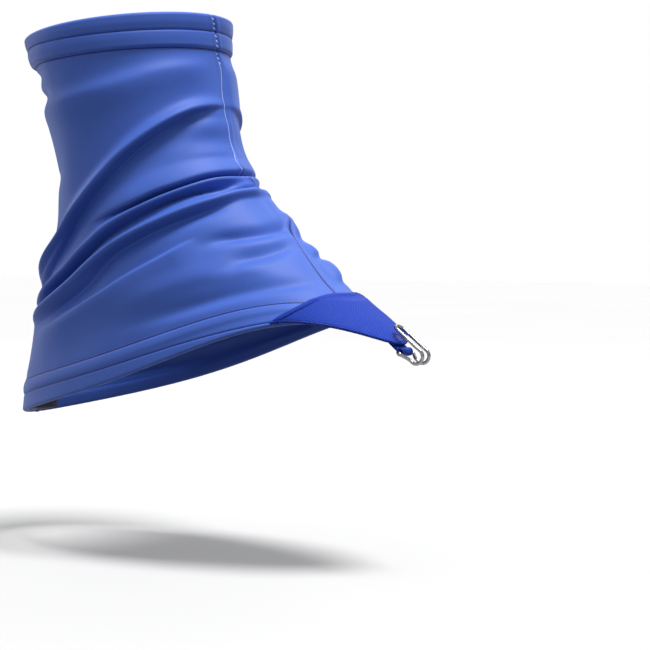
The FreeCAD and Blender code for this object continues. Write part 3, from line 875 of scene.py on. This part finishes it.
def make_patch_base():
    """The tape itself, a rectangle with rounded corners and a softened edge."""
    rows, columns = 25, 41
    half, low, high = 15.5, 5.07, 5.93
    across = np.linspace(-1, 1, columns)[None]
    down = np.linspace(-1, 1, rows)[:, None]
    angle = 180 + across * half * (1 - 0.06 * np.abs(down) ** 8)
    station = (low + high) / 2 + down * (high - low) / 2 * (1 - 0.05 * np.abs(across) ** 8)
    soften = 0.5 * (np.maximum(np.abs(across), np.abs(down)) ** 14)
    near = skin(angle, station, PATCH_FACE + soften)
    far = skin(angle, station, PATCH_BACK)
    base = closed_sheet("heel_hook_tape", far, near, TAPE)
    finish_piece(base, "hook_tape", "heel_patch")


def make_patch_hooks():
    """The tape's field of small hooks, with every second row shifted."""
    starts, ends = [], []
    for row, level in enumerate(np.linspace(5.2, 5.8, 9)):
        angles = 180 + np.linspace(-11.5, 11.5, 15) + (0.4 if row % 2 else -0.4)
        stations = np.full(angles.shape, level)
        starts.append(skin(angles, stations, HOOK_FOOT))
        ends.append(skin(angles + 0.25, stations + 0.02, HOOK_TIP))
    starts, ends = np.concatenate(starts), np.concatenate(ends)
    normals = np.broadcast_to(np.array([0.0, 0.0, 1.0]), starts.shape)
    hooks = capsules("heel_hooks", starts, ends, normals, 0.22, TAPE, flat=1.0)
    finish_piece(hooks, "hook_tape")


def make_patch_row():
    """The frame of stitches near the tape's edge."""
    corner, high, low = 13.8, 5.14, 5.86
    path = [(-corner, high), (corner, high), (corner, low), (-corner, low), (-corner, high)]
    angles = np.concatenate([np.linspace(a[0], b[0], 60) for a, b in zip(path, path[1:])])
    stations = np.concatenate([np.linspace(a[1], b[1], 60) for a, b in zip(path, path[1:])])
    line = skin(180 + angles, stations, PATCH_ROW)
    inward = -directions(180 + angles, stations)[0]
    row = stitched_line("heel_patch_row", line, inward, pitch=2.3, stitch=1.7, radius=0.22,
                        material=NAVY)
    finish_piece(row, "thread", "heel_patch_stitching")


make_patch_base()
make_patch_hooks()
make_patch_row()


# ---------------------------------------------------------------- kept CAD parts

for node, material in (("cuff_elastic", ELASTIC), ("hem_elastic", ELASTIC), ("lace_hook", STEEL)):
    piece = frame["nodes"][node]
    for index in range(max(1, len(piece.material_slots))):
        if not piece.material_slots:
            piece.data.materials.append(material)
        piece.material_slots[index].material = material


# ---------------------------------------------------------------- stage, lights, camera

# the ground under the wearer's foot, below the hem
FLOOR = -0.062
bpy.ops.mesh.primitive_plane_add(size=12, location=(0, 0, FLOOR))
floor = bpy.context.object
floor.name = "floor"
floor.data.materials.append(floor_material())
# the floor throws no light up under the sleeve
floor.visible_diffuse = False


def area_light(name, place, aim, size, power):
    """A round soft lamp at a place, aimed at a point."""
    light = bpy.data.lights.new(name, "AREA")
    light.shape = "DISK"
    light.size = size
    light.energy = power
    lamp = bpy.data.objects.new(name, light)
    lamp.location = place
    lamp.rotation_euler = (Vector(aim) - Vector(place)).to_track_quat("-Z", "Y").to_euler()
    bpy.context.scene.collection.objects.link(lamp)


def sun_light(name, direction, softness, strength):
    """A wide soft lamp, far away in a direction."""
    light = bpy.data.lights.new(name, "SUN")
    light.angle = math.radians(softness)
    light.energy = strength
    lamp = bpy.data.objects.new(name, light)
    lamp.rotation_euler = Vector(direction).to_track_quat("Z", "Y").to_euler()
    bpy.context.scene.collection.objects.link(lamp)


sun_light("key", (0.45, -0.05, 1.5), 20, 4.1)
area_light("side", (-1.35, -0.1, 0.35), (0.03, 0, 0.06), 0.8, 2.5)
area_light("back", (-0.3, 1.2, 1.0), (0.03, 0, 0.09), 0.9, 3)


def studio_world():
    """Soft light that falls mostly from above, in front of an even pale backdrop."""
    world = bpy.data.worlds.new("studio")
    world.use_nodes = True
    nodes, links = world.node_tree.nodes, world.node_tree.links
    place = nodes.new("ShaderNodeTexCoord")
    split = nodes.new("ShaderNodeSeparateXYZ")
    links.new(place.outputs["Generated"], split.inputs[0])
    height = nodes.new("ShaderNodeMapRange")
    for socket, value in (("From Min", -0.12), ("From Max", 0.4), ("To Min", 0.2), ("To Max", 0.76)):
        height.inputs[socket].default_value = value
    links.new(split.outputs["Z"], height.inputs["Value"])
    ray = nodes.new("ShaderNodeLightPath")
    seen = nodes.new("ShaderNodeMix")
    links.new(ray.outputs["Is Camera Ray"], seen.inputs[0])
    links.new(height.outputs[0], seen.inputs[2])
    seen.inputs[3].default_value = 1.0
    links.new(seen.outputs[0], nodes["Background"].inputs["Strength"])
    nodes["Background"].inputs["Color"].default_value = (1, 1, 1, 1)
    bpy.context.scene.world = world


studio_world()
bpy.context.scene.view_settings.view_transform = "Standard"

azimuth, elevation, distance = math.radians(33), math.radians(2.5), 0.78
target = Vector((0.112, 0, 0.047))
camera_data = bpy.data.cameras.new("camera")
camera_data.lens = 96.6
camera_data.sensor_width = 36
camera = bpy.data.objects.new("camera", camera_data)
back = Vector((math.sin(azimuth) * math.cos(elevation), -math.cos(azimuth) * math.cos(elevation),
               math.sin(elevation)))
camera.location = target + back * distance
camera.rotation_euler = back.to_track_quat("Z", "Y").to_euler()
bpy.context.scene.collection.objects.link(camera)
bpy.context.scene.camera = camera
